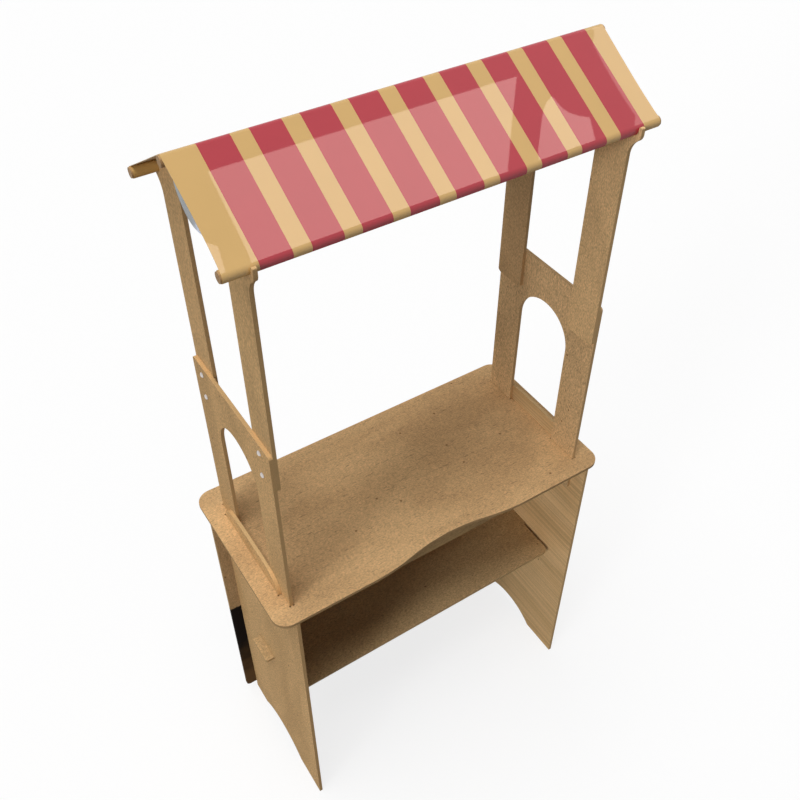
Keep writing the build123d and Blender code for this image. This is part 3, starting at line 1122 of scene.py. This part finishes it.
@dataclass
class Roof:
    """The rails and the awning: one cloth from sleeve to sleeve over the ridge.

    Args:
        seam: Degrees of a rail's round that its sleeve leaves out.
        draw_in: How far the free end edges are drawn in at the rails and, besides, between them.
        draw_lean: Where they are drawn in most: 1 is the middle of the slope, less is lower.
        draw_reach: How far from the ends the cloth is drawn in.
    """

    thickness: float = 0.0009
    columns: int = 123
    slope_steps: int = 24
    loop_steps: int = 30
    ridge_steps: int = 8
    seam: float = 24.0
    draw_in: Pair = (0.0012, 0.0028)
    draw_lean: float = 0.68
    draw_reach: float = 0.06
    tape_shape: TapeShape = TapeShape()

    def __post_init__(self) -> None:
        """Read the rails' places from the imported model."""
        low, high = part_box("front_roof_rail")
        self.eaves = (low + high) / 2
        low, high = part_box("ridge_rail")
        self.ridge = (low + high) / 2
        self.low, self.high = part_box("awning")
        self.radius = self.eaves.y - self.low.y
        self.pitch = math.atan2(self.ridge.z - self.eaves.z, self.ridge.y - self.eaves.y)
        self.slope = math.hypot(self.ridge.z - self.eaves.z, self.ridge.y - self.eaves.y)

    def front_half(self) -> List[Point]:
        """Section from the seam under the front eaves to the ridge.

        Returns:
            Points of y, z and place over the roof.
        """
        top = math.pi / 2 + self.pitch
        whole = math.tau - math.radians(self.seam)
        section = []
        for step in range(self.loop_steps):
            angle = whole * (1 - step / self.loop_steps)
            section.append(self.round(self.eaves, top + angle) + (-angle * self.radius / self.slope,))
        for step in range(self.slope_steps + 1):
            share = step / self.slope_steps
            section.append(self.round(self.eaves.lerp(self.ridge, share), top) + (share,))
        for step in range(1, self.ridge_steps + 1):
            angle = self.pitch * step / self.ridge_steps
            section.append(self.round(self.ridge, top - angle) + (1 + angle * self.radius / self.slope,))
        return section

    def round(self, centre: Vector, angle: float) -> Pair:
        """Point of the section beside a rail's centre."""
        return centre.y + self.radius * math.cos(angle), centre.z + self.radius * math.sin(angle)

    def section(self) -> List[Point]:
        """Section from seam to seam.

        Returns:
            Points of y, z and place over the roof.
        """
        half = self.front_half()
        apex = half[-1][2]
        back = [(2 * self.ridge.y - y, z, 2 * apex - place) for y, z, place in reversed(half[:-1])]
        return half + back

    def drawn_in(self, x: float, place: float, apex: float) -> float:
        """Place along the counter of a point near the cloth's free ends.

        Args:
            x: Its place on the flat cloth.
            place: Its place over the roof.
            apex: The ridge's place.

        Returns:
            The place, drawn in between the rails.
        """
        down = min(max(place if place <= apex else 2 * apex - place, 0.0), 1.0)
        at_rails, between = self.draw_in
        pull = at_rails + between * math.sin(math.pi * down ** self.draw_lean)
        near = min(x - self.low.x, self.high.x - x)
        share = max(0.0, 1 - near / self.draw_reach) ** 2
        return x + math.copysign(pull * share, -x)

    def awning(self) -> Piece:
        """Make the awning's cloth.

        Returns:
            The piece.
        """
        section = self.section()
        apex = section[len(section) // 2][2]
        across = [self.low.x + (self.high.x - self.low.x) * column / (self.columns - 1)
                  for column in range(self.columns)]
        rows = [[Vector((self.drawn_in(x, place, apex), y, z)) for x in across]
                for y, z, place in section]
        places = [place for _, _, place in section]
        eaves, ridge = self.loop_steps, self.loop_steps + self.slope_steps
        creases = (eaves, ridge, len(rows) - 1 - ridge, len(rows) - 1 - eaves)
        cloth = ThinSheet("awning_cloth", rows, self.thickness, places, creases)
        piece = cloth.build([ClothFinish("awning_print", Side.PRINTED).build(),
                             ClothFinish("awning_reverse", Side.REVERSE).build()])
        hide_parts("awning")
        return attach(piece, BODY)

    def tape(self, end: End, material: Material) -> Piece:
        """Make the slack binding tape under one end edge of the cloth.

        Args:
            end: Which end.
            material: The tape's finish.

        Returns:
            The piece.
        """
        shape = self.tape_shape
        edge = self.low.x if end is End.LEFT else self.high.x
        under = math.pi / 2 + self.pitch
        reach = self.radius - self.thickness - shape.gap
        rows, places = [], []
        for step in range(shape.steps + 1):
            share = step / shape.steps
            places.append(shape.low + (shape.high - shape.low) * share)
            seat = self.eaves.lerp(self.ridge, places[-1])
            drawn = self.drawn_in(edge, places[-1], 1.0)
            y, z = seat.y + reach * math.cos(under), seat.z + reach * math.sin(under)
            depth = shape.hang(share)
            row = []
            for drop in range(shape.drops + 1):
                down = drop / shape.drops
                inward = shape.inward * (1 - down) ** shape.curl
                row.append(Vector((drawn - end.value * inward, y, z - depth * down)))
            rows.append(row if end is End.LEFT else row[::-1])
        sheet = ThinSheet(f"{end.name.lower()}_edge_tape", rows, shape.thickness, places)
        piece = sheet.build([material, material])
        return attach(piece, BODY)

    def build(self) -> None:
        """Dress the rails and make the awning with its tapes."""
        wood = RailFinish().build()
        rails = ["front_roof_rail", "ridge_rail", "rear_roof_rail"]
        for rail in rails:
            dress(rail, wood)
        cloth = self.awning()
        grey = TapeFinish().build()
        tapes = [self.tape(end, grey) for end in End]


@dataclass
class Studio:
    """White room: a floor, broad lamps, cards for the cloth's gloss and the camera.

    Angles are in degrees: the camera's tilt up from straight down, and its heading from +Y.

    Args:
        lens: The camera's focal length in millimetres, like its sensor's width.
        picture: The photograph's width in pixels.
        room: Strength of the room's light; the next three are the lamps' strengths.
    """

    eye: Point = (-0.91008, -1.40603, 2.86978)
    tilt: float = 45.67
    heading: float = -32.83
    lens: float = 42.23
    sensor: float = 36.0
    picture: int = 800
    card_height: float = 3.498
    card_tint: Colour = (1.0, 0.86, 0.80)
    room: float = 0.22
    overhead: float = 2.15
    low_left: float = 1.08
    rear: float = 0.25
    floor_reach: float = 30.0

    def floor(self) -> None:
        """Make the floor."""
        half = self.floor_reach
        points = [(-half, -half, 0.0), (half, -half, 0.0), (half, half, 0.0), (-half, half, 0.0)]
        new_piece("studio_floor", points, [(0, 1, 2, 3)], [FloorFinish().build()])

    def world(self) -> None:
        """White room that lights the stall softly."""
        world = bpy.data.worlds.new("studio_room")
        bpy.context.scene.world = world
        graph = Graph(world)
        strength = 1 - (1 - self.room) * graph.unseen()
        glow = graph.node("ShaderNodeBackground", {}, {"Strength": strength})
        graph.node("ShaderNodeOutputWorld", {}, {0: glow.outputs[0]})

    def lamp(self, name: str, power: float, spread: float, towards: Point) -> None:
        """Make a broad distant lamp.

        Args:
            name: The lamp's name.
            power: Its light on a surface that faces it.
            spread: Its breadth in degrees.
            towards: The way its light travels.
        """
        light = bpy.data.lights.new(name, "SUN")
        light.energy = power
        light.angle = math.radians(spread)
        piece = bpy.data.objects.new(name, light)
        piece.rotation_mode = "QUATERNION"
        piece.rotation_quaternion = Vector(towards).to_track_quat("-Z", "Y")
        piece.visible_glossy = False
        piece.visible_camera = False
        bpy.context.scene.collection.objects.link(piece)
        LOG.info("%s: %.2f", name, power)

    def lamps(self) -> None:
        """Make the key lamp overhead, a low lamp at the operator's left and a soft one at the rear."""
        self.lamp("overhead_lamp", self.overhead, spread=36.0, towards=(0.155, 0.033, -1.0))
        self.lamp("low_left_lamp", self.low_left, spread=16.0, towards=(0.90, 0.33, -0.29))
        self.lamp("rear_lamp", self.rear, spread=40.0, towards=(0.0, -0.64, -0.77))

    def glow(self, name: str, strength: float) -> Material:
        """Make a card's glow."""
        return Graph(name).done({"Color": self.card_tint, "Strength": strength}, "Emission")

    def card(self, name: str, outline: Sequence[Pair], material: Material) -> None:
        """Make a bright card over the roof that only glossy rays see.

        Args:
            name: The card's name.
            outline: Its corners in x and y.
            material: Its glow.
        """
        points = [(x, y, self.card_height) for x, y in outline]
        piece = new_piece(name, points, [tuple(range(len(points)))], [material])
        for ray in ("camera", "diffuse", "transmission", "volume_scatter", "shadow"):
            setattr(piece, f"visible_{ray}", False)

    def cards(self) -> None:
        """Make the cards that give the roof its sharp-edged sheen."""
        left, right, front, rear = -0.3, 3.2, -0.62, 0.6
        glow = self.glow("studio_card", strength=4.25)
        self.card("long_card", [
            (0.022, -0.155), (0.060, -0.39), (0.069, -0.454), (0.068, front), (1.14, front),
            (1.157, -0.467), (1.198, -0.361), (1.233, -0.274), (1.281, -0.157), (1.184, -0.155),
        ], glow)
        self.card("small_card", [
            (1.309, -0.445), (1.334, -0.387), (1.356, -0.336), (1.372, -0.305), (1.391, -0.282),
            (1.422, -0.264), (1.432, -0.274), (1.444, -0.295), (1.464, -0.323), (1.492, -0.346),
            (1.528, -0.365), (1.559, -0.378), (1.584, -0.386), (1.588, -0.418), (1.592, -0.475),
            (1.59, front), (1.29, front),
        ], glow)
        self.card("corner_card", [
            (left, -0.30), (-0.055, -0.369), (-0.024, -0.39), (-0.027, -0.477), (-0.03, front),
            (left, front),
        ], glow)
        self.card("end_card", [
            (1.68, rear), (1.68, -0.088), (1.675, -0.101), (1.663, -0.119), (1.698, -0.205),
            (1.73, -0.275), (1.774, -0.365), (1.817, -0.441), (1.806, -0.47), (1.80, front),
            (right, front), (right, rear),
        ], self.glow("studio_end_card", strength=2.9))

    def camera(self) -> None:
        """Set the camera at the photograph's place, half a pixel aside as the photograph is."""
        data = bpy.data.cameras.new("studio_camera")
        data.lens = self.lens
        data.sensor_width = self.sensor
        data.sensor_fit = "HORIZONTAL"
        data.shift_x, data.shift_y = -0.5 / self.picture, 0.5 / self.picture
        piece = bpy.data.objects.new("studio_camera", data)
        piece.location = self.eye
        piece.rotation_euler = (math.radians(self.tilt), 0.0, math.radians(self.heading))
        bpy.context.scene.collection.objects.link(piece)
        bpy.context.scene.camera = piece
        LOG.info("studio_camera: %.2f mm", self.lens)

    def build(self) -> None:
        """Make the studio."""
        bpy.context.scene.view_settings.view_transform = "Standard"
        self.floor()
        self.world()
        self.lamps()
        self.cards()
        self.camera()


def main() -> None:
    """Build the stall's looks and its studio."""
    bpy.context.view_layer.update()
    for part in (Carcass(), EndFrames(), Roof(), Studio()):
        part.build()


if __name__ == "__main__":
    main()
